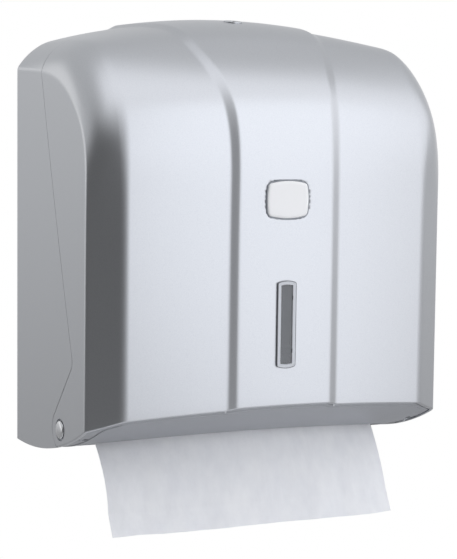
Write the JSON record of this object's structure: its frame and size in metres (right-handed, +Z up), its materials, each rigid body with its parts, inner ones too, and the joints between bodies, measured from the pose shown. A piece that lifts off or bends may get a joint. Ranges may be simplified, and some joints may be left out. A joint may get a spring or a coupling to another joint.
{
  "type": "paper towel dispenser",
  "caption": "Wall-mounted dispenser for folded paper towels with a hinged, latched front cover and a towel hanging from the slot in its base.",
  "frame": {"origin": "centre of the four wall screw holes, on the wall face of the back plate", "axes": "+X to the right seen from the front, +Y from the dispenser into the wall, +Z up"},
  "size_m": [0.2656, 0.1408, 0.3374],
  "materials": {
    "silver_plastic": "satin metallic silver ABS",
    "grey_plastic": "fine matt grey ABS",
    "white_plastic": "natural white acetal",
    "pin_plastic": "smooth grey acetal",
    "zinc_steel": "zinc plated",
    "spring_steel": "bright drawn wire and strip",
    "towel_paper": "soft creped tissue",
    "clear_plastic": "clear polished polycarbonate",
    "badge_plastic": "pale silver, bare"
  },
  "bodies": {
    "housing": {"rear_housing": "silver_plastic", "outlet_tray": "grey_plastic", "tray_screws": "zinc_steel", "left_guide": "white_plastic", "right_guide": "white_plastic", "guide_screws": "zinc_steel", "latch_bracket": "grey_plastic", "bracket_screws": "zinc_steel", "latch_spring": "spring_steel", "paper_stack": "towel_paper", "left_hinge_pin": "pin_plastic", "right_hinge_pin": "pin_plastic", "left_pin_clip": "spring_steel", "right_pin_clip": "spring_steel"},
    "cover": {"front_cover": "silver_plastic", "cover_catch": "white_plastic", "window_lens": "clear_plastic", "badge_plate": "badge_plastic", "badge_dome": "clear_plastic", "key_bush": "pin_plastic"},
    "latch": {"latch_slide": "white_plastic"},
    "towel": {"towel": "towel_paper"}
  },
  "joints": [
    {"name": "cover_hinge", "type": "hinge", "parent": "housing", "child": "cover", "pos_m": [0, -0.0751, -0.1128], "axis": [1, 0, 0], "range_deg": [0, 70]},
    {"name": "latch_press", "type": "slide", "parent": "housing", "child": "latch", "axis": [0, 0, -1], "range_m": [0, 0.004], "stiffness_N_per_m": 400, "springref_m": -0.006, "deforming": ["latch_spring"]},
    {"name": "towel_pull", "type": "slide", "parent": "housing", "child": "towel", "axis": [0, -0.4662, -0.8847], "range_m": [0, 0.018]}
  ]
}
